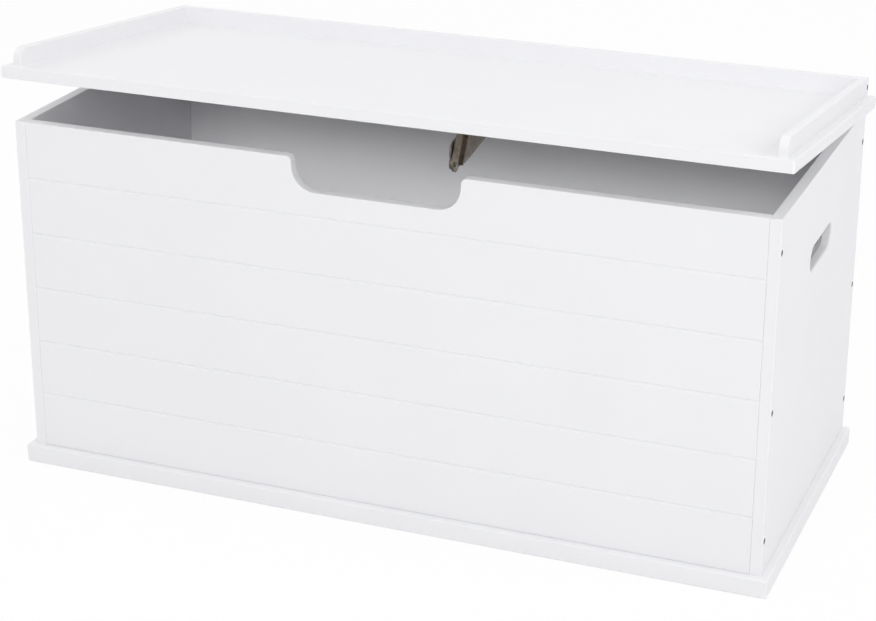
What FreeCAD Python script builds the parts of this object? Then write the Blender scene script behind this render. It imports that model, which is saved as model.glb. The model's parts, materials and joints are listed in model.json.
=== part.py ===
"""Toy box: a panelled wooden chest with a railed lid, two butt hinges and a folding friction stay.

Millimetres. The origin is the middle of the base board's underside, +Z is up, the front faces -Y.
The lid stands a little open at rest. Everything fixed to the lid is built in the closed place
and turned about the hinge axis by lid_angle.
"""

import FreeCAD, Part
import math
import os
import re
import Sketcher
from FreeCAD import Placement, Rotation, Vector

# The driving dimensions, in millimetres and degrees.
SIZES = {
    # carcass
    "body_width": 900.0,          # outside, across the two side panels
    "body_depth": 414.0,          # outside, front face to rear face
    "body_height": 409.0,         # top of the base board to the rim
    "side_board": 13.0,           # thickness of the side panels
    "front_board": 13.0,          # thickness of the front panel
    "back_board": 13.0,           # thickness of the back panel
    "base_thickness": 22.0,
    "base_overhang": 9.0,         # base board proud of the carcass at the front and sides
    "base_round": 2.0,            # eased edges of the base board
    "edge_round": 1.0,            # eased edges of the other boards
    # front panel
    "plank_height": 68.2,         # distance between the grooves
    "groove_depth": 1.5,          # depth of each V groove
    "groove_half": 2.4,           # half width of each V groove
    "notch_width": 200.0,         # finger cut-out in the top edge
    "notch_depth": 39.0,
    "notch_corner": 28.0,         # radius of the cut-out's bottom corners
    "notch_lip": 7.0,             # radius where the cut-out meets the top edge
    # side panels
    "slot_length": 107.0,         # hand slot, end to end
    "slot_height": 29.0,
    "slot_drop": 101.0,           # slot's middle below the rim
    "slot_round": 3.0,            # eased edges of the slot
    "side_screw_low": 40.0,       # lowest side screw above the base board
    "side_screw_mid": 191.0,      # middle side screw above the base board
    "side_screw_drop": 38.0,      # top side screw below the rim
    # lid
    "lid_thickness": 14.0,
    "lid_overhang": 10.5,         # lid proud of the carcass at the front and sides
    "lid_corner": 3.0,            # radius of the lid's upright corners
    "lid_angle": 6.7,             # how far the lid stands open at rest
    "rail_height": 21.0,
    "rail_thickness": 10.0,
    "rail_setback": 10.0,         # front end of the side rails behind the lid's front edge
    "rail_round": 13.0,           # radius of the side rails' top front corners
    "buffer_radius": 4.0,         # pads under the lid
    "buffer_inset": 30.0,         # pads' middles from the carcass front and rear
    "buffer_play": 0.2,           # pads clear of the rim with the lid shut
    # hinges
    "hinge_inset": 150.0,         # middle of each hinge from the outside of the carcass
    "hinge_length": 64.0,
    "hinge_leaf": 1.0,            # leaf thickness
    "hinge_leaf_width": 11.0,
    "hinge_knuckle": 3.0,         # outside radius of the knuckles
    "hinge_pin": 1.5,             # radius of the pin
    "hinge_pin_head": 2.4,        # radius of the pin's heads
    "hinge_pin_head_height": 1.2,
    "hinge_play": 0.3,            # knuckles clear of each other and of the boards
    "hinge_screw_edge": 10.0,     # outer screws from the ends of a leaf
    "leaf_play": 0.4,             # between the two leaves with the lid shut
    # folding stay
    "stay_plate": 2.5,            # thickness of the arms
    "stay_bracket": 2.0,          # thickness of the brackets
    "stay_washer": 0.8,           # thickness of the friction washers
    "stay_washer_radius": 7.0,
    "stay_play": 0.15,            # side play on each face of a washer
    "stay_pivot": 2.5,            # radius of the pivots
    "pivot_play": 0.05,           # pivots in their holes, and the pins in the knuckles
    "rivet_head": 5.0,            # radius of the rivet and bolt heads
    "rivet_head_height": 1.8,
    "nut_radius": 4.6,            # across the corners, halved
    "nut_height": 4.0,
    "stay_anchor_drop": 54.0,     # back pivot below the rim
    "stay_anchor_reach": 14.0,    # back pivot in front of the back panel
    "stay_lid_reach": 147.3,      # lid pivot in front of the hinge axis with the lid shut
    "stay_lid_drop": 32.6,        # lid pivot below the lid with the lid shut
    "lower_arm_root": 8.0,        # half width of the lower arm at the back pivot
    "lower_arm_elbow": 8.0,       # half width of the lower arm at the elbow
    "belly_place": 110.0,         # widest place of the lower arm, from the back pivot on
    "belly_half": 15.5,           # half width of the lower arm there
    "crest_start": 48.0,          # raised crest of the lower arm, from the back pivot on
    "crest_end": 6.5,             # front end of the crest behind the elbow
    "crest_rise": 13.5,           # middle of the crest above the line of the pivots
    "crest_half": 12.5,           # half width of the crest
    "upper_arm_half": 10.5,       # half width of the upper arm
    "lip_height": 5.5,            # turned-up edges of the upper arm
    "lip_thickness": 1.6,
    "lip_clear": 18.0,            # upper end of those edges short of the lid pivot
    "tongue_half": 9.0,           # half width of the brackets' tongues
    "bracket_flange": 26.0,       # width of the brackets' flanges
    "bracket_length": 46.0,       # length of the brackets' flanges
    "bracket_screw_edge": 8.0,    # screws from the ends of a flange
    # fasteners: radius of the head, straight part of the head, whole head, radius of the shank, length
    "side_screw_head": 3.6,
    "side_screw_land": 3.4,
    "side_screw_sink": 4.6,
    "side_screw_shank": 2.4,
    "side_screw_length": 46.0,
    "base_screw_head": 4.2,
    "base_screw_land": 0.6,
    "base_screw_sink": 2.8,
    "base_screw_shank": 2.2,
    "base_screw_length": 48.0,
    "rail_screw_head": 3.4,
    "rail_screw_land": 0.4,
    "rail_screw_sink": 2.2,
    "rail_screw_shank": 1.7,
    "rail_screw_bite": 14.0,      # how far a rail screw goes into its rail
    "leaf_screw_head": 2.8,
    "leaf_screw_land": 0.3,
    "leaf_screw_sink": 1.6,
    "leaf_screw_shank": 1.4,
    "leaf_screw_length": 10.5,
    "screw_play": 0.05,           # fasteners in their holes
    "dowel_radius": 3.0,
    "dowel_length": 30.0,
    "dowel_in_base": 13.0,        # how deep a dowel sits in the base board
    "base_screw_recess": 0.5,     # heads of the base screws above the base board's underside
    "base_screw_inset": 137.0,    # outer base screws from the ends of the front and back panels
    "side_base_inset": 97.0,      # base screws from the ends of the side panels
    "rail_screw_clear": 40.0,     # outer screws of the back rail from the hinge leaves
    "side_rail_inset": 77.0,      # outer screws of the side rails from the carcass front and rear
    "rail_corner_height": 10.0,   # corner screws above the lid's top face
}

KNUCKLES = 5            # of each hinge, shared by its two leaves

# Places and sizes that follow from the driving dimensions.
DERIVED = {
    "rim": "base_thickness + body_height",
    "base_screw_x": "panel_width / 2 - base_screw_inset",
    "rail_screw_length": "lid_thickness + rail_screw_bite",
    "front": "-body_depth / 2",
    "back": "body_depth / 2",
    "lid_gap": "2 * hinge_leaf + leaf_play",
    "lid_under": "rim + lid_gap",
    "lid_top": "lid_under + lid_thickness",
    "lid_turn": "lid_angle * 1 deg",
    "lid_front": "front - lid_overhang",
    "panel_width": "body_width - 2 * side_board",
    "hinge_y": "back + hinge_knuckle + hinge_play",
    "hinge_z": "rim + lid_gap / 2",
    "knuckle_length": f"(hinge_length - {KNUCKLES - 1} * hinge_play) / {KNUCKLES}",
    "bore": "hinge_pin + pivot_play",
    "pivot_hole": "stay_pivot + pivot_play",
    # the stay's four pivots make a parallelogram: hinge axis, back pivot, elbow and lid pivot
    "anchor_y": "back - back_board - stay_anchor_reach",
    "anchor_z": "rim - stay_anchor_drop",
    "arm_y": "-stay_lid_reach",
    "arm_z": "lid_gap / 2 - stay_lid_drop",
    "link_y": "hinge_y - anchor_y",
    "link_z": "hinge_z - anchor_z",
    "elbow_y": "anchor_y + arm_y * cos(lid_turn) + arm_z * sin(lid_turn)",
    "elbow_z": "anchor_z + arm_z * cos(lid_turn) - arm_y * sin(lid_turn)",
    "lid_pivot_y": "hinge_y + arm_y",
    "lid_pivot_z": "hinge_z + arm_z",
    "lower_arm_length": "sqrt(arm_y ^ 2 + arm_z ^ 2)",
    "upper_arm_length": "sqrt(link_y ^ 2 + link_z ^ 2)",
    "lower_arm_angle": "atan2(arm_z; arm_y) - lid_turn",
    "upper_arm_angle": "atan2(link_z; link_y)",
    # the stay's layers from left to right, each with side play; the elbow washer is at x = 0
    "lower_arm_right": "-stay_washer / 2 - stay_play",
    "lower_arm_left": "lower_arm_right - stay_plate",
    "anchor_washer_left": "lower_arm_left - stay_play - stay_washer",
    "anchor_tongue_left": "anchor_washer_left - stay_play - stay_bracket",
    "upper_arm_left": "stay_washer / 2 + stay_play",
    "upper_arm_right": "upper_arm_left + stay_plate",
    "lid_washer_left": "upper_arm_right + stay_play",
    "lid_tongue_left": "lid_washer_left + stay_washer + stay_play",
    "lid_tongue_right": "lid_tongue_left + stay_bracket",
    "bolt_length": "lower_arm_right + stay_play + nut_height - anchor_tongue_left + stay_play",
}

NEAR = 1e-4             # how near an edge lies to a level to count as on it
DRILL_RISE = 1.0        # how far a drilled hole's cutter stands above the surface
RIVET_CROWN = 0.6       # flat top of a rivet head as a share of its radius
RIVET_SHOULDER = 0.4    # straight side of a rivet head as a share of its height
SOCKET_SHARE = 0.55     # hexagon recess in a side screw as a share of its head
CROSS_REACH = 0.62      # arms of a cross recess as a share of the head
CROSS_ARM = 0.14        # half width of those arms as a share of the head
HINGE_SIDES = {"left": "-(body_width / 2 - hinge_inset)", "right": "body_width / 2 - hinge_inset"}
BUFFER_TAPER = 0.85     # rim end of a pad as a share of its radius
RECESS_SHARE = 0.6      # depth of a driver recess as a share of the head

FACE_DOWN = Rotation(Vector(1, 0, 0), 180)    # a fastener driven upwards
FROM_RIGHT = Rotation(Vector(0, 1, 0), 90)    # driven towards -X, or a pivot that runs along +X
FROM_LEFT = Rotation(Vector(0, 1, 0), -90)    # driven towards +X
FROM_FRONT = Rotation(Vector(1, 0, 0), 90)    # driven towards +Y
UPRIGHT = Rotation()

doc = FreeCAD.newDocument("toy_box")
pieces = []


def formula(text):
    """Spell out a formula in the sheet's cells."""
    def spell(match):
        name = match.group(0)
        if name in DERIVED:
            return "(" + formula(DERIVED[name]) + ")"
        if name in SIZES:
            return "Sizes." + name
        return name
    return re.sub(r"[a-z][a-z_0-9]*", spell, text)


def make_sheet():
    sheet = doc.addObject("Spreadsheet::Sheet", "Sizes")
    for row, (alias, number) in enumerate(SIZES.items(), start=1):
        sheet.set(f"A{row}", alias)
        sheet.set(f"B{row}", str(number))
        sheet.setAlias(f"B{row}", alias)
    doc.recompute()


def bind(thing, **formulas):
    """Bind properties to formulas; two underscores in a keyword stand for a dot."""
    for path, text in formulas.items():
        thing.setExpression(path.replace("__", "."), formula(text))


def put(thing, place, rotation=UPRIGHT):
    """Place a thing at three formulas, turned by a fixed rotation."""
    thing.Placement = Placement(Vector(), rotation)
    for axis, text in zip("xyz", place):
        thing.setExpression("Placement.Base." + axis, formula(text))


def turn_about_x(thing, place, angle):
    """Place a thing at three formulas, turned about +X by an angle formula."""
    spot = "; ".join(formula(text) for text in place)
    turned = formula(angle)
    thing.setExpression("Placement", f"placement(vector({spot}); rotation(vector(1; 0; 0); {turned}))")


def keep(thing, label, on_lid=False):
    """Enter a finished sub-part; one on the lid swings open about the hinge axis."""
    thing.Label = label
    if on_lid:
        axis = formula("vector(0; hinge_y; hinge_z)")
        angle = formula("lid_turn")
        swing = f"placement(vector(0; 0; 0); rotation(vector(-1; 0; 0); {angle}); {axis})"
        thing.setExpression("Placement", swing)
    pieces.append(thing)
    return thing


# Primitives and booleans

def box(name, size, corner):
    block = doc.addObject("Part::Box", name)
    bind(block, Length=size[0], Width=size[1], Height=size[2])
    put(block, corner)
    return block


def cylinder_along_x(name, radius, length, start):
    rod = doc.addObject("Part::Cylinder", name)
    bind(rod, Radius=radius, Height=length)
    put(rod, start, FROM_RIGHT)
    return rod


def fuse(name, shapes):
    union = doc.addObject("Part::MultiFuse", name)
    union.Shapes = shapes
    union.Refine = True
    return union


def cut(name, base, tools):
    """Cut tools from a base, one after the other."""
    for number, tool in enumerate(tools, start=1):
        step = doc.addObject("Part::Cut", f"{name}_cut_{number}")
        step.Base = base
        step.Tool = tool
        base = step
    return base


# Sketches and bodies

def sketch_on(body, role, name):
    sketch = body.newObject("Sketcher::SketchObject", name)
    plane = next(feature for feature in body.Origin.OriginFeatures if feature.Role == role)
    sketch.AttachmentSupport = [(plane, "")]
    sketch.MapMode = "FlatFace"
    return sketch


def pin_point(sketch, element, position, place, name):
    """Tie a sketch point to two formulas, measured from the sketch's origin."""
    for kind, axis, text in (("DistanceX", -2, place[0]), ("DistanceY", -1, place[1])):
        if text == "0":
            sketch.addConstraint(Sketcher.Constraint("PointOnObject", element, position, axis))
            continue
        number = sketch.addConstraint(Sketcher.Constraint(kind, -1, 1, element, position, 1.0))
        sketch.renameConstraint(number, f"{name}_{kind}")
        sketch.setExpression(f"Constraints.{name}_{kind}", formula(text))


def set_radius(sketch, element, text, name):
    number = sketch.addConstraint(Sketcher.Constraint("Radius", element, 1.0))
    sketch.renameConstraint(number, name)
    sketch.setExpression(f"Constraints.{name}", formula(text))


def draw_polygon(sketch, corners):
    """A closed outline through corners given as pairs of formulas."""
    count = len(corners)
    first = sketch.GeometryCount
    # a rough ring to start from, before the constraints place each corner
    turns = [2 * math.pi * i / count for i in range(count)]
    ring = [Vector(math.cos(turn), math.sin(turn)) for turn in turns]
    for i in range(count):
        sketch.addGeometry(Part.LineSegment(ring[i], ring[(i + 1) % count]), False)
    for i in range(count):
        following = first + (i + 1) % count
        sketch.addConstraint(Sketcher.Constraint("Coincident", first + i, 2, following, 1))
    for i, corner in enumerate(corners):
        pin_point(sketch, first + i, 1, corner, f"corner{first + i}")


def draw_circle(sketch, place, radius, name):
    element = sketch.addGeometry(Part.Circle(Vector(1, 1), Vector(0, 0, 1), 1.0), False)
    pin_point(sketch, element, 3, place, name)
    set_radius(sketch, element, radius, f"{name}_radius")


def draw_bar(sketch, start, end, start_radius, end_radius):
    """An outline with two round ends, joined by tangent lines; the ends are level in the sketch."""
    # a rough bar to start from, before the constraints set its length and its two radii
    reach = 100.0
    half = 10.0
    left = Part.ArcOfCircle(Part.Circle(Vector(), Vector(0, 0, 1), half), math.pi / 2, 1.5 * math.pi)
    right = Part.ArcOfCircle(Part.Circle(Vector(reach, 0), Vector(0, 0, 1), half), -math.pi / 2, math.pi / 2)
    sketch.addGeometry(left, False)
    sketch.addGeometry(Part.LineSegment(Vector(0, -half), Vector(reach, -half)), False)
    sketch.addGeometry(right, False)
    sketch.addGeometry(Part.LineSegment(Vector(reach, half), Vector(0, half)), False)
    for element in range(4):
        sketch.addConstraint(Sketcher.Constraint("Tangent", element, 2, (element + 1) % 4, 1))
    pin_point(sketch, 0, 3, start, "start")
    pin_point(sketch, 2, 3, end, "end")
    set_radius(sketch, 0, start_radius, "start_radius")
    set_radius(sketch, 2, end_radius, "end_radius")


def pad(body, sketch, length, reverse=False):
    feature = body.newObject("PartDesign::Pad", "Pad")
    feature.Profile = sketch
    bind(feature, Length=length)
    feature.Reversed = reverse
    doc.recompute()
    return feature


def pocket_through(body, sketch):
    """Cut a sketch through a body, along its plane's normal."""
    feature = body.newObject("PartDesign::Pocket", "Pocket")
    feature.Profile = sketch
    feature.Type = "ThroughAll"
    feature.Reversed = True
    doc.recompute()
    return feature


def fillet(body, base, radius, chosen):
    """Round the edges of a feature that chosen() picks."""
    names = [f"Edge{number}" for number, edge in enumerate(base.Shape.Edges, start=1) if chosen(edge)]
    feature = body.newObject("PartDesign::Fillet", "Fillet")
    feature.Base = (base, names)
    bind(feature, Radius=radius)
    doc.recompute()
    return feature


def lies_at(axis, levels):
    """A test for edges that lie flat at one of some levels along an axis."""
    def test(edge):
        box_of = edge.BoundBox
        low = getattr(box_of, axis + "Min")
        high = getattr(box_of, axis + "Max")
        return any(abs(low - level) < NEAR and abs(high - level) < NEAR for level in levels)
    return test


def runs_along(axis):
    """A test for straight edges along an axis."""
    def test(edge):
        box_of = edge.BoundBox
        others = [name for name in "XYZ" if name != axis]
        return all(getattr(box_of, name + "Length") < NEAR for name in others)
    return test


def both(first, second):
    return lambda edge: first(edge) and second(edge)


def on_faces(base, axis):
    """A test for the edges round the two broad faces across an axis."""
    box_of = base.Shape.BoundBox
    return lies_at(axis, [getattr(box_of, axis + "Min"), getattr(box_of, axis + "Max")])


def inner_corner(base, top):
    """A test for the corners of the finger cut-out: at its floor, or where it meets the top edge."""
    box_of = base.Shape.BoundBox
    ends = on_faces(base, "X")
    low = lies_at("Z", [box_of.ZMin])
    high = lies_at("Z", [box_of.ZMax])
    straight = runs_along("Y")

    def test(edge):
        return straight(edge) and not ends(edge) and not low(edge) and high(edge) == top
    return test


def outer_rim(base):
    """A test for the edges round the broad faces of a side panel, at its outside."""
    faces = on_faces(base, "X")
    ends = on_faces(base, "Y")
    levels = on_faces(base, "Z")
    return lambda edge: faces(edge) and (ends(edge) or levels(edge))


def slot_rim(base):
    """A test for the edges round the broad faces of a side panel, at its slot."""
    faces = on_faces(base, "X")
    outside = outer_rim(base)
    return lambda edge: faces(edge) and not outside(edge)


def board(name, role, outline, thickness, place, reverse=False):
    """A body padded from an outline on an origin plane."""
    body = doc.addObject("PartDesign::Body", name)
    sketch = sketch_on(body, role, name + "_outline")
    draw_polygon(sketch, outline)
    feature = pad(body, sketch, thickness, reverse)
    put(body, place)
    return body, feature


def rectangle_outline(width, height):
    return [("0", "0"), (width, "0"), (width, height), ("0", height)]


def turned(name, outline):
    """A body turned about its own Z axis from pairs of radius and height formulas."""
    body = doc.addObject("PartDesign::Body", name)
    sketch = sketch_on(body, "XZ_Plane", name + "_profile")
    draw_polygon(sketch, outline)
    feature = body.newObject("PartDesign::Revolution", "Revolution")
    feature.Profile = sketch
    feature.ReferenceAxis = (sketch, ["V_Axis"])
    feature.Angle = 360
    doc.recompute()
    return body


# Fasteners: each kind has a master and a cutter for its hole

def screw_outline(kind, play, rise):
    head = f"{kind}_head + {play}"
    shank = f"{kind}_shank + {play}"
    tip = f"-{kind}_length - {play}"
    return [
        ("0", rise),
        (head, rise),
        (head, f"-{kind}_land"),
        (shank, f"-{kind}_sink"),
        (shank, f"{tip} + {kind}_shank"),
        ("0", tip),
    ]


def recess(body, kind, outline):
    """A driver recess in the top of a screw head."""
    sketch = sketch_on(body, "XY_Plane", kind + "_recess")
    draw_polygon(sketch, outline)
    feature = body.newObject("PartDesign::Pocket", "Recess")
    feature.Profile = sketch
    bind(feature, Length=f"{kind}_sink * {RECESS_SHARE}")
    doc.recompute()


def hexagon_outline(radius):
    turns = [math.radians(60 * i) for i in range(6)]
    return [(f"{radius} * {math.cos(a):.9f}", f"{radius} * {math.sin(a):.9f}") for a in turns]


def cross_outline(reach, arm):
    quarter = [(reach, arm), (arm, arm), (arm, reach)]
    corners = []
    for x_sign, y_sign, points in (("", "", quarter), ("-", "", quarter[::-1]),
                                   ("-", "-", quarter), ("", "-", quarter[::-1])):
        corners += [(f"{x_sign}({x})", f"{y_sign}({y})") for x, y in points]
    return corners


def make_screw(kind, hexagon=False):
    screw = turned(kind, screw_outline(kind, "0", "0"))
    if hexagon:
        recess(screw, kind, hexagon_outline(f"{kind}_head * {SOCKET_SHARE}"))
    else:
        recess(screw, kind, cross_outline(f"{kind}_head * {CROSS_REACH}", f"{kind}_head * {CROSS_ARM}"))
    cutter = turned(kind + "_cutter", screw_outline(kind, "screw_play", str(DRILL_RISE)))
    return screw, cutter


def make_dowel():
    chamfer = "dowel_radius / 4"
    dowel = turned("dowel", [
        ("0", "0"), (f"dowel_radius - {chamfer}", "0"), ("dowel_radius", chamfer),
        ("dowel_radius", f"dowel_length - {chamfer}"), (f"dowel_radius - {chamfer}", "dowel_length"),
        ("0", "dowel_length"),
    ])
    hole = "dowel_radius + screw_play"
    top = "dowel_length + screw_play"
    cutter = turned("dowel_cutter", [("0", "-screw_play"), (hole, "-screw_play"), (hole, top), ("0", top)])
    return dowel, cutter


def group(name, master, places):
    """Copies of a master, each at three formulas and a rotation."""
    copies = []
    for number, (place, rotation) in enumerate(places, start=1):
        copy = doc.addObject("App::Link", f"{name}_{number}")
        copy.LinkedObject = master
        put(copy, place, rotation)
        copies.append(copy)
    gathered = doc.addObject("Part::Compound", name)
    gathered.Links = copies
    return gathered


def fasteners(label, kind, places, on_lid=False):
    """A sub-part of separate fasteners, and the cutter for all their holes."""
    master, cutter = kind
    keep(group(label, master, places), label, on_lid)
    return group(label + "_holes", cutter, places)


def rivet_outline(length):
    crown = f"rivet_head * {RIVET_CROWN}"
    shoulder = f"rivet_head_height * {RIVET_SHOULDER}"
    return [
        ("0", "-rivet_head_height"), (crown, "-rivet_head_height"),
        ("rivet_head", f"-({shoulder})"), ("rivet_head", "0"),
        ("stay_pivot", "0"), ("stay_pivot", length),
        ("rivet_head", length), ("rivet_head", f"{length} + {shoulder}"),
        (crown, f"{length} + rivet_head_height"), ("0", f"{length} + rivet_head_height"),
    ]


def bolt_outline(length):
    return rivet_outline(length)[:6] + [("0", length)]


# Where each fastener goes

def side_screw_places(x, rotation):
    heights = ("base_thickness + side_screw_low", "base_thickness + side_screw_mid", "rim - side_screw_drop")
    rows = ("front + front_board / 2", "back - back_board / 2")
    return [((x, y, z), rotation) for y in rows for z in heights]


def base_screw_places():
    places = []
    for y in ("front + front_board / 2", "back - back_board / 2"):
        places += [((f"{step} * base_screw_x", y, "base_screw_recess"), FACE_DOWN) for step in (-1, 0, 1)]
    for x in ("-body_width / 2 + side_board / 2", "body_width / 2 - side_board / 2"):
        for y in ("front + side_base_inset", "back - side_base_inset"):
            places.append(((x, y, "base_screw_recess"), FACE_DOWN))
    return places


def dowel_places():
    bottom = "base_thickness - dowel_in_base"
    places = []
    for y in ("front + front_board / 2", "back - back_board / 2"):
        places += [((f"{step} * base_screw_x / 2", y, bottom), UPRIGHT) for step in (-1, 1)]
    for x in ("-body_width / 2 + side_board / 2", "body_width / 2 - side_board / 2"):
        places.append(((x, "0", bottom), UPRIGHT))
    return places


def rail_screw_places():
    back_row = "back - rail_thickness / 2"
    beside_hinge = "(body_width / 2 - hinge_inset + hinge_length / 2 + rail_screw_clear)"
    places = [((f"{step} * {beside_hinge}", back_row, "lid_under"), FACE_DOWN) for step in (-1, 0, 1)]
    for side in (-1, 1):
        x = f"{side} * (body_width / 2 - rail_thickness / 2)"
        for y in ("front + side_rail_inset", "0", "back - side_rail_inset"):
            places.append(((x, y, "lid_under"), FACE_DOWN))
    return places


def leaf_screw_places(z, rotation):
    y = "back - hinge_leaf_width / 2"
    return [((f"{middle} + {step} * (hinge_length / 2 - hinge_screw_edge)", y, z), rotation)
            for middle in HINGE_SIDES.values() for step in (-1, 0, 1)]


# Boards

def make_base(holes):
    outline = rectangle_outline("body_width + 2 * base_overhang", "body_depth + base_overhang")
    corner = ("-body_width / 2 - base_overhang", "front - base_overhang", "0")
    body, slab = board("base_blank", "XY_Plane", outline, "base_thickness", corner)
    fillet(body, slab, "base_round", lambda edge: True)
    keep(cut("base_board", body, holes), "base_board")


def make_front(holes):
    low = "body_height - notch_depth"
    left = "panel_width / 2 - notch_width / 2"
    right = "panel_width / 2 + notch_width / 2"
    outline = [
        ("0", "0"), ("panel_width", "0"), ("panel_width", "body_height"), (right, "body_height"),
        (right, low), (left, low), (left, "body_height"), ("0", "body_height"),
    ]
    corner = ("-panel_width / 2", "front", "base_thickness")
    body, panel = board("front_blank", "XZ_Plane", outline, "front_board", corner, reverse=True)
    wall = "notch_depth - notch_lip - edge_round"
    rounded = fillet(body, panel, f"min(notch_corner; {wall})", inner_corner(panel, top=False))
    lipped = fillet(body, rounded, "notch_lip", inner_corner(rounded, top=True))
    fillet(body, lipped, "edge_round", on_faces(lipped, "Y"))
    groove = sketch_on(body, "YZ_Plane", "front_groove")
    mouth = f"groove_half * (groove_depth + {DRILL_RISE}) / groove_depth"
    draw_polygon(groove, [
        (f"-{DRILL_RISE}", f"plank_height - ({mouth})"),
        ("groove_depth", "plank_height"),
        (f"-{DRILL_RISE}", f"plank_height + {mouth}"),
    ])
    first = pocket_through(body, groove)
    planks = round(SIZES["body_height"] / SIZES["plank_height"])
    rows = body.newObject("PartDesign::LinearPattern", "front_grooves")
    rows.Originals = [first]
    rows.Direction = (groove, ["V_Axis"])
    rows.Occurrences = planks - 1
    bind(rows, Length=f"plank_height * {planks - 2}")
    body.Tip = rows
    doc.recompute()
    keep(cut("front_panel", body, holes), "front_panel")


def make_back(holes):
    outline = rectangle_outline("panel_width", "body_height")
    corner = ("-panel_width / 2", "back - back_board", "base_thickness")
    body, panel = board("back_blank", "XZ_Plane", outline, "back_board", corner, reverse=True)
    fillet(body, panel, "edge_round", on_faces(panel, "Y"))
    keep(cut("back_panel", body, holes), "back_panel")


def make_side(side, x, holes):
    outline = rectangle_outline("body_depth", "body_height")
    corner = (x, "front", "base_thickness")
    body, panel = board(f"{side}_side_blank", "YZ_Plane", outline, "side_board", corner)
    slot = sketch_on(body, "YZ_Plane", f"{side}_hand_slot")
    level = "body_height - slot_drop"
    half_run = "(slot_length - slot_height) / 2"
    start = (f"body_depth / 2 - {half_run}", level)
    end = (f"body_depth / 2 + {half_run}", level)
    draw_bar(slot, start, end, "slot_height / 2", "slot_height / 2")
    slotted = pocket_through(body, slot)
    eased = fillet(body, slotted, "min(slot_round; side_board / 3)", slot_rim(slotted))
    fillet(body, eased, "edge_round", outer_rim(eased))
    label = f"{side}_side_panel"
    keep(cut(label, body, holes), label)


def make_lid(holes):
    outline = rectangle_outline("body_width + 2 * lid_overhang", "body_depth + lid_overhang")
    corner = ("-body_width / 2 - lid_overhang", "lid_front", "lid_under")
    body, slab = board("lid_blank", "XY_Plane", outline, "lid_thickness", corner)
    rounded = fillet(body, slab, "lid_corner", runs_along("Z"))
    fillet(body, rounded, "edge_round", on_faces(rounded, "Z"))
    keep(cut("lid_board", body, holes), "lid_board", on_lid=True)


def make_side_rail(side, x, holes):
    outline = rectangle_outline("back - lid_front - rail_setback", "rail_height")
    corner = (x, "lid_front + rail_setback", "lid_top")
    body, rail = board(f"{side}_rail_blank", "YZ_Plane", outline, "rail_thickness", corner)
    box_of = rail.Shape.BoundBox
    nose = both(lies_at("Y", [box_of.YMin]), lies_at("Z", [box_of.ZMax]))
    rounded = fillet(body, rail, "min(rail_round; rail_height - edge_round)", nose)
    on_lid_face = lies_at("Z", [box_of.ZMin])
    sides = on_faces(rounded, "X")
    fillet(body, rounded, "edge_round", lambda edge: sides(edge) and not on_lid_face(edge))
    label = f"lid_{side}_rail"
    keep(cut(label, body, holes), label, on_lid=True)


def make_back_rail(holes):
    outline = rectangle_outline("body_width - 2 * rail_thickness", "rail_height")
    corner = ("-body_width / 2 + rail_thickness", "back - rail_thickness", "lid_top")
    body, rail = board("back_rail_blank", "XZ_Plane", outline, "rail_thickness", corner, reverse=True)
    top = lies_at("Z", [rail.Shape.BoundBox.ZMax])
    fillet(body, rail, "edge_round", both(top, runs_along("X")))
    keep(cut("lid_back_rail", body, holes), "lid_back_rail", on_lid=True)


def make_buffers():
    pad_master = doc.addObject("Part::Cone", "buffer")
    height = "lid_gap - buffer_play"
    bind(pad_master, Radius1=f"buffer_radius * {BUFFER_TAPER}", Radius2="buffer_radius", Height=height)
    bottom = f"lid_under - ({height})"
    places = [((f"{side} * (body_width / 2 - side_board / 2)", y, bottom), UPRIGHT)
              for side in (-1, 1) for y in ("front + buffer_inset", "back - buffer_inset")]
    keep(group("lid_buffers", pad_master, places), "lid_buffers", on_lid=True)


# Hinges

def make_leaf(side, middle, upper, holes):
    """One leaf of a butt hinge: a plate and every other knuckle, bored for the pin."""
    label = f"{side}_hinge_lid_leaf" if upper else f"{side}_hinge_back_leaf"
    level = "lid_under - hinge_leaf" if upper else "rim"
    end = f"{middle} - hinge_length / 2"
    solids = [box(label + "_plate", ("hinge_length", "hinge_leaf_width", "hinge_leaf"),
                  (end, "back - hinge_leaf_width", level))]
    for number in range(1 if upper else 0, KNUCKLES, 2):
        start = f"{end} + {number} * (knuckle_length + hinge_play)"
        tab = ("knuckle_length", "hinge_y - back", "hinge_leaf")
        solids.append(box(f"{label}_tab_{number}", tab, (start, "back", level)))
        spot = (start, "hinge_y", "hinge_z")
        solids.append(cylinder_along_x(f"{label}_knuckle_{number}", "hinge_knuckle", "knuckle_length", spot))
    bore = cylinder_along_x(label + "_bore", "bore", "hinge_length", (end, "hinge_y", "hinge_z"))
    whole = fuse(label + "_whole", solids)
    keep(cut(label, whole, [bore, holes]), label, on_lid=upper)


def make_pin(side, middle):
    label = f"{side}_hinge_pin"
    shaft_start = f"{middle} - hinge_length / 2 - hinge_play"
    shaft_length = "hinge_length + 2 * hinge_play"
    head = "hinge_pin_head_height"
    shaft = cylinder_along_x(label + "_shaft", "hinge_pin", shaft_length, (shaft_start, "hinge_y", "hinge_z"))
    solids = [shaft]
    for name, start in (("near", f"{shaft_start} - {head}"), ("far", f"{shaft_start} + {shaft_length}")):
        spot = (start, "hinge_y", "hinge_z")
        solids.append(cylinder_along_x(f"{label}_{name}_head", "hinge_pin_head", head, spot))
    keep(fuse(label, solids), label)


# Folding stay

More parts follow.
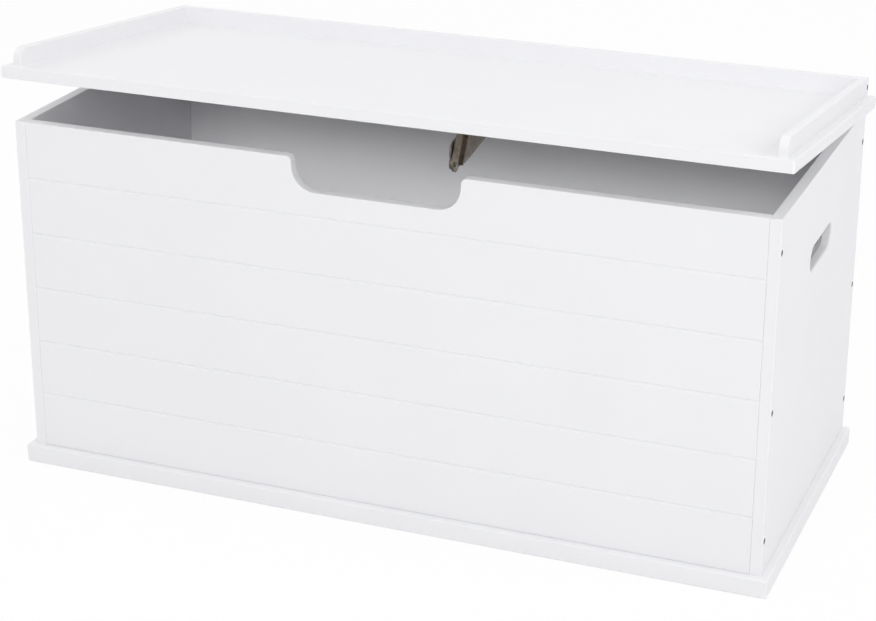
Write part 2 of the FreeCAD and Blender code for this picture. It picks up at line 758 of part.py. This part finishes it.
def make_arm(label, length, bars, place, angle, lips=()):
    """A flat arm of joined bars with a pivot hole at each end; lips are edges turned up from it."""
    body = doc.addObject("PartDesign::Body", label)
    for number, bar in enumerate(bars, start=1):
        outline = sketch_on(body, "YZ_Plane", f"{label}_bar_{number}")
        draw_bar(outline, *bar)
        pad(body, outline, "stay_plate")
    for number, lip in enumerate(lips, start=1):
        edge = sketch_on(body, "YZ_Plane", f"{label}_lip_{number}")
        draw_polygon(edge, lip)
        pad(body, edge, "stay_plate + lip_height")
    holes = sketch_on(body, "YZ_Plane", label + "_holes")
    draw_circle(holes, ("0", "0"), "pivot_hole", "start_hole")
    draw_circle(holes, (length, "0"), "pivot_hole", "end_hole")
    pocket_through(body, holes)
    turn_about_x(body, place, angle)
    keep(body, label)


def lower_arm_bars():
    """From the back pivot to the belly, on to the elbow, and a crest along the upper side."""
    belly = ("belly_place", "0")
    crest_back = ("crest_start", "-crest_rise")
    crest_front = ("lower_arm_length - crest_end", "-crest_rise")
    return [
        (("0", "0"), belly, "lower_arm_root", "belly_half"),
        (belly, ("lower_arm_length", "0"), "belly_half", "lower_arm_elbow"),
        (crest_back, crest_front, "crest_half", "crest_half"),
    ]


def upper_arm_lips():
    """A lip along each side of the upper arm, from the elbow to near the lid pivot."""
    end = "upper_arm_length - lip_clear"
    inside = "upper_arm_half - lip_thickness"
    return [[("0", f"{side}({inside})"), (end, f"{side}({inside})"), (end, f"{side}upper_arm_half"),
             ("0", f"{side}upper_arm_half")] for side in ("", "-")]


def make_washer(label, left, y, z, on_lid=False):
    disc = cylinder_along_x(label + "_disc", "stay_washer_radius", "stay_washer", (left, y, z))
    hole = cylinder_along_x(label + "_hole", "pivot_hole", "stay_washer", (left, y, z))
    keep(cut(label, disc, [hole]), label, on_lid)


def make_rivet(label, left, right, y, z, on_lid=False):
    """A rivet whose heads stand just outside two faces."""
    body = turned(label + "_blank", rivet_outline(f"{right} - ({left}) + 2 * stay_play"))
    placed = group(label, body, [((f"{left} - stay_play", y, z), FROM_RIGHT)])
    keep(placed, label, on_lid)


def make_anchor_bolt():
    body = turned("stay_anchor_bolt_blank", bolt_outline("bolt_length"))
    spot = ("anchor_tongue_left - stay_play", "anchor_y", "anchor_z")
    keep(group("stay_anchor_bolt", body, [(spot, FROM_RIGHT)]), "stay_anchor_bolt")
    start = ("lower_arm_right + stay_play", "anchor_y", "anchor_z")
    blank = doc.addObject("Part::Prism", "stay_anchor_nut_blank")
    blank.Polygon = 6
    bind(blank, Circumradius="nut_radius", Height="nut_height")
    put(blank, start, FROM_RIGHT)
    hole = cylinder_along_x("stay_anchor_nut_hole", "pivot_hole", "nut_height", start)
    keep(cut("stay_anchor_nut", blank, [hole]), "stay_anchor_nut")


def make_back_bracket(holes):
    """A flange on the back panel with a tongue that carries the back pivot."""
    wall = "back - back_board"
    pivot = ("anchor_tongue_left", "anchor_y", "anchor_z")
    tongue = box("back_tongue", ("stay_bracket", f"{wall} - (anchor_y)", "2 * tongue_half"),
                 ("anchor_tongue_left", "anchor_y", "anchor_z - tongue_half"))
    end = cylinder_along_x("back_tongue_end", "tongue_half", "stay_bracket", pivot)
    flange = box("back_flange", ("bracket_flange", "stay_bracket", "bracket_length"),
                 ("anchor_tongue_left + stay_bracket - bracket_flange", f"{wall} - stay_bracket",
                  "anchor_z - bracket_length / 2"))
    hole = cylinder_along_x("back_tongue_hole", "pivot_hole", "stay_bracket", pivot)
    whole = fuse("stay_back_bracket_whole", [tongue, end, flange])
    keep(cut("stay_back_bracket", whole, [hole, holes]), "stay_back_bracket")


def make_lid_bracket(holes):
    """A flange under the lid with a tongue that carries the lid pivot."""
    pivot = ("lid_tongue_left", "lid_pivot_y", "lid_pivot_z")
    tongue = box("lid_tongue", ("stay_bracket", "2 * tongue_half", "lid_under - (lid_pivot_z)"),
                 ("lid_tongue_left", "lid_pivot_y - tongue_half", "lid_pivot_z"))
    end = cylinder_along_x("lid_tongue_end", "tongue_half", "stay_bracket", pivot)
    flange = box("lid_flange", ("bracket_flange", "bracket_length", "stay_bracket"),
                 ("lid_tongue_left", "lid_pivot_y - bracket_length / 2", "lid_under - stay_bracket"))
    hole = cylinder_along_x("lid_tongue_hole", "pivot_hole", "stay_bracket", pivot)
    whole = fuse("stay_lid_bracket_whole", [tongue, end, flange])
    keep(cut("stay_lid_bracket", whole, [hole, holes]), "stay_lid_bracket", on_lid=True)


def make_stay(back_holes, lid_holes):
    make_back_bracket(back_holes)
    make_anchor_bolt()
    make_washer("stay_anchor_washer", "anchor_washer_left", "anchor_y", "anchor_z")
    make_arm("stay_lower_arm", "lower_arm_length", lower_arm_bars(),
             ("lower_arm_left", "anchor_y", "anchor_z"), "lower_arm_angle")
    make_rivet("stay_elbow_rivet", "lower_arm_left", "upper_arm_right", "elbow_y", "elbow_z")
    make_washer("stay_elbow_washer", "-stay_washer / 2", "elbow_y", "elbow_z")
    bar = (("0", "0"), ("upper_arm_length", "0"), "upper_arm_half", "upper_arm_half")
    make_arm("stay_upper_arm", "upper_arm_length", [bar],
             ("upper_arm_left", "elbow_y", "elbow_z"), "upper_arm_angle", upper_arm_lips())
    make_lid_bracket(lid_holes)
    lid_pivot = ("lid_pivot_y", "lid_pivot_z")
    make_rivet("stay_lid_rivet", "upper_arm_left", "lid_tongue_right", *lid_pivot, on_lid=True)
    make_washer("stay_lid_washer", "lid_washer_left", *lid_pivot, on_lid=True)


def stay_screw_places():
    """Screws of the back flange and of the lid flange."""
    across = "(bracket_flange - stay_bracket) / 2"
    back_x = f"anchor_tongue_left - {across}"
    lid_x = f"lid_tongue_right + {across}"
    back_y = "back - back_board - stay_bracket"
    lid_z = "lid_under - stay_bracket"
    steps = ("- (bracket_length / 2 - bracket_screw_edge)", "+ (bracket_length / 2 - bracket_screw_edge)")
    back_row = [((back_x, back_y, f"anchor_z {step}"), FROM_FRONT) for step in steps]
    lid_row = [((lid_x, f"lid_pivot_y {step}", lid_z), FACE_DOWN) for step in steps]
    return back_row, lid_row


def corner_screw_places():
    y = "back - rail_thickness / 2"
    z = "lid_top + rail_corner_height"
    return [(("body_width / 2", y, z), FROM_RIGHT), (("-body_width / 2", y, z), FROM_LEFT)]


def check_and_write():
    """Stop on anything that failed or cut nothing, then write each sub-part to its own file."""
    doc.recompute()
    for thing in doc.Objects:
        if "Invalid" in thing.State or "Error" in thing.State:
            raise RuntimeError(f"{thing.Label} failed: {thing.State}")
        if thing.TypeId == "Part::Cut" and thing.Shape.Volume >= thing.Base.Shape.Volume:
            raise RuntimeError(f"{thing.Label} cut nothing")
        if thing.TypeId == "PartDesign::Pocket" and thing.Shape.Volume >= thing.BaseFeature.Shape.Volume:
            raise RuntimeError(f"{thing.Label} cut nothing")
    for piece in pieces:
        if piece.Shape.isNull() or not piece.Shape.isValid() or not piece.Shape.Solids:
            raise RuntimeError(f"{piece.Label} is not a valid solid")
    os.makedirs("parts", exist_ok=True)
    for piece in pieces:
        piece.Shape.exportStep(f"parts/{piece.Label}.step")
        print(f"{piece.Label}: {len(piece.Shape.Solids)} solids, {piece.Shape.Volume / 1000:.1f} cm3")


make_sheet()
side_screw = make_screw("side_screw", hexagon=True)
base_screw = make_screw("base_screw")
rail_screw = make_screw("rail_screw")
leaf_screw = make_screw("leaf_screw")
back_stay_row, lid_stay_row = stay_screw_places()

left_holes = fasteners("left_side_screws", side_screw, side_screw_places("-body_width / 2", FROM_LEFT))
right_holes = fasteners("right_side_screws", side_screw, side_screw_places("body_width / 2", FROM_RIGHT))
base_holes = fasteners("base_screws", base_screw, base_screw_places())
dowel_holes = fasteners("base_dowels", make_dowel(), dowel_places())
back_leaf_holes = fasteners("hinge_back_screws", leaf_screw, leaf_screw_places("rim + hinge_leaf", UPRIGHT))
lid_leaf_places = leaf_screw_places("lid_under - hinge_leaf", FACE_DOWN)
lid_leaf_holes = fasteners("hinge_lid_screws", leaf_screw, lid_leaf_places, on_lid=True)
rail_holes = fasteners("rail_screws", rail_screw, rail_screw_places(), on_lid=True)
corner_holes = fasteners("rail_corner_screws", rail_screw, corner_screw_places(), on_lid=True)
back_stay_holes = fasteners("stay_back_screws", leaf_screw, back_stay_row)
lid_stay_holes = fasteners("stay_lid_screws", leaf_screw, lid_stay_row, on_lid=True)

make_base([base_holes, dowel_holes])
make_front([left_holes, right_holes, base_holes, dowel_holes])
make_back([left_holes, right_holes, base_holes, dowel_holes, back_leaf_holes, back_stay_holes])
make_side("left", "-body_width / 2", [left_holes, base_holes, dowel_holes])
make_side("right", "body_width / 2 - side_board", [right_holes, base_holes, dowel_holes])
make_lid([rail_holes, lid_leaf_holes, lid_stay_holes])
make_side_rail("left", "-body_width / 2", [rail_holes, corner_holes])
make_side_rail("right", "body_width / 2 - rail_thickness", [rail_holes, corner_holes])
make_back_rail([rail_holes, corner_holes])
make_buffers()
for hinge_side, hinge_middle in HINGE_SIDES.items():
    make_leaf(hinge_side, hinge_middle, False, back_leaf_holes)
    make_leaf(hinge_side, hinge_middle, True, lid_leaf_holes)
    make_pin(hinge_side, hinge_middle)
make_stay(back_stay_holes, lid_stay_holes)
check_and_write()
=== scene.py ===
"""Toy box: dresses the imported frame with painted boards, plated metal and small trim in a pale studio.

Metres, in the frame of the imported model: +Z up, the front faces -Y, the origin under the base board.
"""

import json
import math

import bpy
from mathutils import Matrix, Vector


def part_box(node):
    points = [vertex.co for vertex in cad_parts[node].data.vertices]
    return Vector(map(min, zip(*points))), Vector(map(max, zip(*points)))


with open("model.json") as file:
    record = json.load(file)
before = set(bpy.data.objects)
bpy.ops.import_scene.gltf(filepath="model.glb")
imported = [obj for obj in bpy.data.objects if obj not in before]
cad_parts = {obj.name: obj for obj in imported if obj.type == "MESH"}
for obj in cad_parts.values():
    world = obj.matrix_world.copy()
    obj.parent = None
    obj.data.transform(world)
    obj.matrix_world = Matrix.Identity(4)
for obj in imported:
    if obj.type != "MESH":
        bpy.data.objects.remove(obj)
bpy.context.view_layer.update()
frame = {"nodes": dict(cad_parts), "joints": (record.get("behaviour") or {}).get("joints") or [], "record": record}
nodes = frame["nodes"]
lid_hinge = next(joint for joint in frame["joints"] if joint["name"] == "lid_hinge")
HINGE = Vector(lid_hinge["pos_m"])
SHUT = -math.radians(lid_hinge["range_deg"][0])     # how far the lid stands open at rest
ON_LID = set(frame["record"]["behaviour"]["bodies"]["lid"])

# The photograph's viewpoint, read from a fit to the corners of the box.
EYE = Vector((0.9158, -2.3280, 1.2023))
YAW = 21.64             # degrees to the left of straight ahead
PITCH = 21.22           # degrees down
ROLL = 0.12             # degrees
FOCAL = 2247.0          # in pixels of the photograph
PHOTO_WIDTH = 876       # pixels
SENSOR = 36.0           # millimetres
SHIFT = -0.04           # a small part of the upward shift of the photograph's lens

WHITE = (1.0, 1.0, 1.0, 1.0)
AMBIENT = 0.50          # strength of the even light all round
FLOOR_HALF = 30.0
FLOOR_GREY = 0.92
FLOOR_WHITE = 0.92      # share of plain white in what the camera or a reflection sees of the floor

MIDDLE = Vector((0.0, 0.0, 0.30))       # where the softboxes aim
SOFTBOX_AWAY = 3.2      # distance from there
SOFTBOX_WIDTH = 2.6
# name, azimuth and elevation in degrees, height in metres, level
SOFTBOXES = (
    ("front", 8.0, 25.5, 0.5, 0.262),
    ("right", 80.0, 32.0, 1.6, 0.268),
    ("left", -90.0, 32.0, 1.6, 0.19),
    ("back", 180.0, 32.0, 1.6, 0.145),
    ("overhead", 0.0, 89.0, 2.6, 0.168),
)

# The strip lamp on the inside of the front panel.
FILL_WATTS = 0.178
FILL_GAP = 0.004        # off the panel
FILL_MARGIN = 0.027     # short of each end of the panel
FILL_HEIGHT = 0.06
FILL_TILT = 4.0         # degrees down
FILL_SPREAD = 54.0      # degrees

PAINT = (0.870, 0.870, 0.888)
PAINT_DULL = (0.860, 0.860, 0.880)      # where the paint is a little cloudy
PAINT_THIN = (0.815, 0.808, 0.800)      # where the paint thins over an edge
EDGE_REACH = 0.0022     # how far in from an edge the paint is thin
ROLLER_STRETCH = 0.12   # the roller texture is drawn out along a board by one over this

# name, plating, worn plating, roughness, scale of the clouds
PLATINGS = (
    ("zinc_steel", (0.60, 0.61, 0.63), (0.70, 0.70, 0.69), 0.34, 120.0),
    ("bronze_steel", (0.40, 0.335, 0.265), (0.53, 0.465, 0.39), 0.36, 140.0),
    ("bright_rivet", (0.50, 0.46, 0.40), (0.62, 0.58, 0.52), 0.28, 200.0),
)
DRAWN_STRETCH = Vector((9.0, 1.0, 1.0))     # drawn marks lie close together across the box
GRAIN_STRETCH = Vector((1.0, 1.0, 0.08))    # the dowels stand upright, so grain runs up them
FLECK_STRETCH = Vector((1.0, 1.0, 0.25))

# Places of the sockets for colours on a Mix node, whose names repeat for other kinds of data.
MIX_SHARE = 0
MIX_FIRST = 6
MIX_SECOND = 7
MIX_RESULT = 2


class Tree:
    """A node tree, built by short calls that give back output sockets."""

    def __init__(self, tree):
        self.tree = tree

    def node(self, kind, inputs, **settings):
        """Add a node, with its inputs linked to sockets or set to values."""
        made = self.tree.nodes.new("ShaderNode" + kind)
        for name, value in settings.items():
            setattr(made, name, value)
        for key, value in inputs.items():
            if isinstance(value, bpy.types.NodeSocket):
                self.tree.links.new(value, made.inputs[key])
            else:
                made.inputs[key].default_value = value
        return made

    def math(self, operation, first, second):
        return self.node("Math", {0: first, 1: second}, operation=operation).outputs["Value"]

    def seen(self):
        """One for what the camera sees, also in mirrors or through glass, and nothing for other light."""
        light_path = self.node("LightPath", {}).outputs
        either = self.math("MAXIMUM", light_path["Is Camera Ray"], light_path["Is Glossy Ray"])
        return self.math("MAXIMUM", either, light_path["Is Transmission Ray"])


class Graph(Tree):
    """A new material's node tree around its shader."""

    def __init__(self, name, **sockets):
        self.material = bpy.data.materials.new(name)
        self.material.use_nodes = True
        super().__init__(self.material.node_tree)
        self.shader = self.tree.nodes["Principled BSDF"]
        for words, value in sockets.items():
            self.shader.inputs[words.replace("_", " ")].default_value = value

    def feed(self, words, socket):
        """Link a socket to one of the shader's own."""
        self.tree.links.new(socket, self.shader.inputs[words])

    def place(self, turn=0.0):
        """The point on the surface in metres; one on the lid is turned shut first."""
        spot = self.node("TexCoord", {}).outputs["Object"]
        if turn:
            inputs = {"Vector": spot, "Center": HINGE, "Angle": turn}
            spot = self.node("VectorRotate", inputs, rotation_type="X_AXIS").outputs["Vector"]
        return spot

    def stretch(self, place, scales):
        inputs = {0: place, 1: scales}
        return self.node("VectorMath", inputs, operation="MULTIPLY").outputs["Vector"]

    def noise(self, place, scale, detail=3.0):
        inputs = {"Vector": place, "Scale": scale, "Detail": detail}
        return self.node("TexNoise", inputs).outputs["Fac"]

    def span(self, value, source, target=(0.0, 1.0)):
        """Carry a value from one range to another, smoothly and within its ends."""
        low, high = source
        start, end = target
        inputs = {"Value": value, "From Min": low, "From Max": high, "To Min": start, "To Max": end}
        return self.node("MapRange", inputs, interpolation_type="SMOOTHSTEP").outputs["Result"]

    def mix(self, share, first, second):
        """Mix two colours, each a socket or red, green and blue."""
        ends = [(*end, 1.0) if isinstance(end, tuple) else end for end in (first, second)]
        inputs = {MIX_SHARE: share, MIX_FIRST: ends[0], MIX_SECOND: ends[1]}
        return self.node("Mix", inputs, data_type="RGBA").outputs[MIX_RESULT]

    def bump(self, height, strength, distance):
        inputs = {"Height": height, "Strength": strength, "Distance": distance}
        self.feed("Normal", self.node("Bump", inputs).outputs["Normal"])

    def edges(self, place, low, high, reach):
        """One along the edges of a box and nothing past reach from them."""
        parts = self.node("SeparateXYZ", {"Vector": place}).outputs
        gaps = []
        for part, start, end in zip(parts, low, high):
            before = self.math("SUBTRACT", part, start)
            after = self.math("SUBTRACT", end, part)
            gaps.append(self.math("MINIMUM", before, after))
        lesser = self.math("MINIMUM", gaps[0], gaps[1])
        greater = self.math("MAXIMUM", gaps[0], gaps[1])
        middle = self.math("MAXIMUM", lesser, self.math("MINIMUM", greater, gaps[2]))
        return self.span(middle, (0.0, reach), (1.0, 0.0))


def shut_box(name):
    """A node's box; for one on the lid, its box with the lid shut."""
    if name not in ON_LID:
        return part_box(name)
    turn = Matrix.Translation(HINGE) @ Matrix.Rotation(SHUT, 4, "X") @ Matrix.Translation(-HINGE)
    corners = [turn @ vertex.co for vertex in nodes[name].data.vertices]
    low = Vector(min(c[i] for c in corners) for i in range(3))
    high = Vector(max(c[i] for c in corners) for i in range(3))
    return low, high


# Materials

def painted_board(name):
    """Satin paint on a board: roller texture along it, slight cloudiness, thinner paint on its edges."""
    low, high = shut_box(name)
    size = high - low
    longest = max(range(3), key=lambda i: size[i])
    along = Vector(ROLLER_STRETCH if i == longest else 1.0 for i in range(3))
    graph = Graph("paint_" + name, Specular_IOR_Level=0.35)
    place = graph.place(SHUT if name in ON_LID else 0.0)
    streaks = graph.noise(graph.stretch(place, along), scale=420.0)
    peel = graph.noise(place, scale=900.0, detail=2.0)
    clouds = graph.noise(place, scale=7.0, detail=4.0)
    chips = graph.noise(place, scale=45.0, detail=6.0)
    edge = graph.edges(place, low, high, EDGE_REACH)
    thin = graph.math("MULTIPLY", edge, graph.span(chips, (0.54, 0.72), (0.0, 0.45)))
    cloudy = graph.mix(graph.span(clouds, (0.35, 0.70)), PAINT, PAINT_DULL)
    graph.feed("Base Color", graph.mix(thin, cloudy, PAINT_THIN))
    graph.feed("Roughness", graph.span(streaks, (0.30, 0.70), (0.46, 0.58)))
    height = graph.math("ADD", streaks, graph.math("MULTIPLY", peel, 0.7))
    graph.bump(height, strength=0.10, distance=0.0003)
    return graph.material


def plated_steel(name, colour, worn, rough, scale):
    """Plated pressed steel: cloudy plating, fine drawn scratches and small pits."""
    graph = Graph(name, Metallic=1.0)
    place = graph.place()
    clouds = graph.noise(place, scale, detail=5.0)
    drawn = graph.noise(graph.stretch(place, DRAWN_STRETCH), scale * 6.0)
    pits = graph.noise(place, scale * 14.0, detail=2.0)
    graph.feed("Base Color", graph.mix(graph.span(clouds, (0.35, 0.68)), colour, worn))
    graph.feed("Roughness", graph.span(drawn, (0.25, 0.75), (rough - 0.08, rough + 0.10)))
    height = graph.math("ADD", drawn, graph.math("MULTIPLY", pits, 0.5))
    graph.bump(height, strength=0.25, distance=0.0001)
    return graph.material


def dark_screw():
    """Dark oiled steel, a little browner where the coating is thin."""
    oiled = (0.055, 0.055, 0.060)
    brown = (0.13, 0.12, 0.11)
    graph = Graph("dark_screw", Metallic=0.85)
    clouds = graph.noise(graph.place(), scale=300.0, detail=4.0)
    graph.feed("Base Color", graph.mix(graph.span(clouds, (0.40, 0.70)), oiled, brown))
    graph.feed("Roughness", graph.span(clouds, (0.30, 0.70), (0.34, 0.50)))
    graph.bump(clouds, strength=0.15, distance=0.0001)
    return graph.material


def nylon():
    """Natural nylon, faintly mottled."""
    graph = Graph("nylon", Subsurface_Weight=0.08)
    clouds = graph.noise(graph.place(), scale=350.0)
    graph.feed("Base Color", graph.mix(clouds, (0.76, 0.75, 0.70), (0.84, 0.83, 0.79)))
    graph.feed("Roughness", graph.span(clouds, (0.30, 0.70), (0.42, 0.58)))
    graph.bump(clouds, strength=0.10, distance=0.0001)
    return graph.material


def beech():
    """Bare beech with long grain and short dark flecks."""
    pale = (0.62, 0.43, 0.26)
    brown = (0.50, 0.32, 0.18)
    dark = (0.34, 0.20, 0.11)
    graph = Graph("beech", Roughness=0.62)
    place = graph.place()
    grain = graph.noise(graph.stretch(place, GRAIN_STRETCH), scale=900.0, detail=4.0)
    flecks = graph.noise(graph.stretch(place, FLECK_STRETCH), scale=1600.0, detail=1.0)
    wood = graph.mix(graph.span(grain, (0.35, 0.70)), pale, brown)
    graph.feed("Base Color", graph.mix(graph.span(flecks, (0.66, 0.74)), wood, dark))
    graph.bump(grain, strength=0.30, distance=0.0002)
    return graph.material


def soft_buffer():
    """A cloudy soft plastic bumper."""
    graph = Graph("soft_buffer", Subsurface_Weight=0.15, Specular_IOR_Level=0.45)
    clouds = graph.noise(graph.place(), scale=420.0)
    graph.feed("Base Color", graph.mix(clouds, (0.70, 0.70, 0.69), (0.80, 0.80, 0.79)))
    graph.feed("Roughness", graph.span(clouds, (0.30, 0.70), (0.35, 0.50)))
    graph.bump(clouds, strength=0.12, distance=0.0002)
    return graph.material


def dress_all():
    """Give each CAD node its material; each painted board has one of its own."""
    shared = {name: plated_steel(name, *looks) for name, *looks in PLATINGS}
    shared["dark_screw"] = dark_screw()
    shared["nylon_washer"] = nylon()
    shared["beech_dowel"] = beech()
    shared["soft_buffer"] = soft_buffer()
    for part in frame["record"]["subparts"]:
        name = part["node"]
        kind = part["material_slot"]
        material = shared[kind] if kind in shared else painted_board(name)
        for slot in nodes[name].material_slots:
            slot.material = material


# Stage

def make_floor():
    """A wide pale floor that keeps the object's shadow."""
    mesh = bpy.data.meshes.new("floor")
    corners = [(x * FLOOR_HALF, y * FLOOR_HALF, 0.0) for x, y in ((-1, -1), (1, -1), (1, 1), (-1, 1))]
    mesh.from_pydata(corners, [], [(0, 1, 2, 3)])
    floor = bpy.data.objects.new("floor", mesh)
    bpy.context.scene.collection.objects.link(floor)
    grey = (FLOOR_GREY, FLOOR_GREY, FLOOR_GREY, 1.0)
    graph = Graph("pale_floor", Base_Color=grey, Roughness=0.9, Specular_IOR_Level=0.1)
    share = graph.math("MULTIPLY", graph.seen(), FLOOR_WHITE)
    white = graph.node("Emission", {"Color": WHITE, "Strength": 1.0}).outputs["Emission"]
    both = graph.node("MixShader", {0: share, 1: graph.shader.outputs["BSDF"], 2: white}).outputs["Shader"]
    graph.tree.links.new(both, graph.tree.nodes["Material Output"].inputs["Surface"])
    mesh.materials.append(graph.material)


def make_world():
    """Even soft light; plain white where the camera or a reflection sees past the floor."""
    world = bpy.data.worlds.new("studio")
    bpy.context.scene.world = world
    world.use_nodes = True
    graph = Tree(world.node_tree)
    inputs = {"Value": graph.seen(), "To Min": AMBIENT, "To Max": 1.0}
    strength = graph.node("MapRange", inputs).outputs["Result"]
    backdrop = graph.tree.nodes["Background"]
    backdrop.inputs["Color"].default_value = WHITE
    graph.tree.links.new(strength, backdrop.inputs["Strength"])


def make_lamp(name, place, away, width, height, watts, spread=math.pi):
    """An area lamp that shines against a direction and stays out of the picture and of reflections."""
    lamp = bpy.data.lights.new(name, "AREA")
    lamp.shape = "RECTANGLE"
    lamp.size = width
    lamp.size_y = height
    lamp.energy = watts
    lamp.spread = spread
    lamp_object = bpy.data.objects.new(name, lamp)
    bpy.context.scene.collection.objects.link(lamp_object)
    lamp_object.location = place
    lamp_object.rotation_euler = away.to_track_quat("Z", "Y").to_euler()
    lamp_object.visible_camera = False
    lamp_object.visible_glossy = False


def make_softbox(name, azimuth, elevation, height, level):
    """A softbox aimed at the middle of the box; level is what it adds to a white card that faces it."""
    around = math.radians(azimuth)
    up = math.radians(elevation)
    away = Vector((math.sin(around) * math.cos(up), -math.cos(around) * math.cos(up), math.sin(up)))
    watts = level * (math.pi * SOFTBOX_AWAY) ** 2
    make_lamp(name, MIDDLE + away * SOFTBOX_AWAY, away, SOFTBOX_WIDTH, height, watts)


def make_inside_fill():
    """A weak strip lamp behind the front panel, in place of light that bounces many times inside."""
    low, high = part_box("front_panel")
    width = high.x - low.x - 2 * FILL_MARGIN
    tilt = math.radians(FILL_TILT)
    away = Vector((0.0, -math.cos(tilt), math.sin(tilt)))
    place = Vector((0.0, high.y + FILL_GAP, (low.z + high.z) / 2))
    make_lamp("inside_fill", place, away, width, FILL_HEIGHT, FILL_WATTS, math.radians(FILL_SPREAD))


def make_camera():
    data = bpy.data.cameras.new("camera")
    data.sensor_fit = "HORIZONTAL"
    data.sensor_width = SENSOR
    data.lens = FOCAL * SENSOR / PHOTO_WIDTH
    data.shift_y = SHIFT
    camera = bpy.data.objects.new("camera", data)
    bpy.context.scene.collection.objects.link(camera)
    yaw = Matrix.Rotation(math.radians(YAW), 4, "Z")
    pitch = Matrix.Rotation(math.radians(90.0 - PITCH), 4, "X")
    roll = Matrix.Rotation(math.radians(ROLL), 4, "Z")
    camera.matrix_world = Matrix.Translation(EYE) @ yaw @ pitch @ roll
    bpy.context.scene.camera = camera


def main():
    dress_all()
    make_floor()
    make_world()
    for softbox in SOFTBOXES:
        make_softbox(*softbox)
    make_inside_fill()
    make_camera()
    bpy.context.scene.view_settings.view_transform = "Standard"


main()
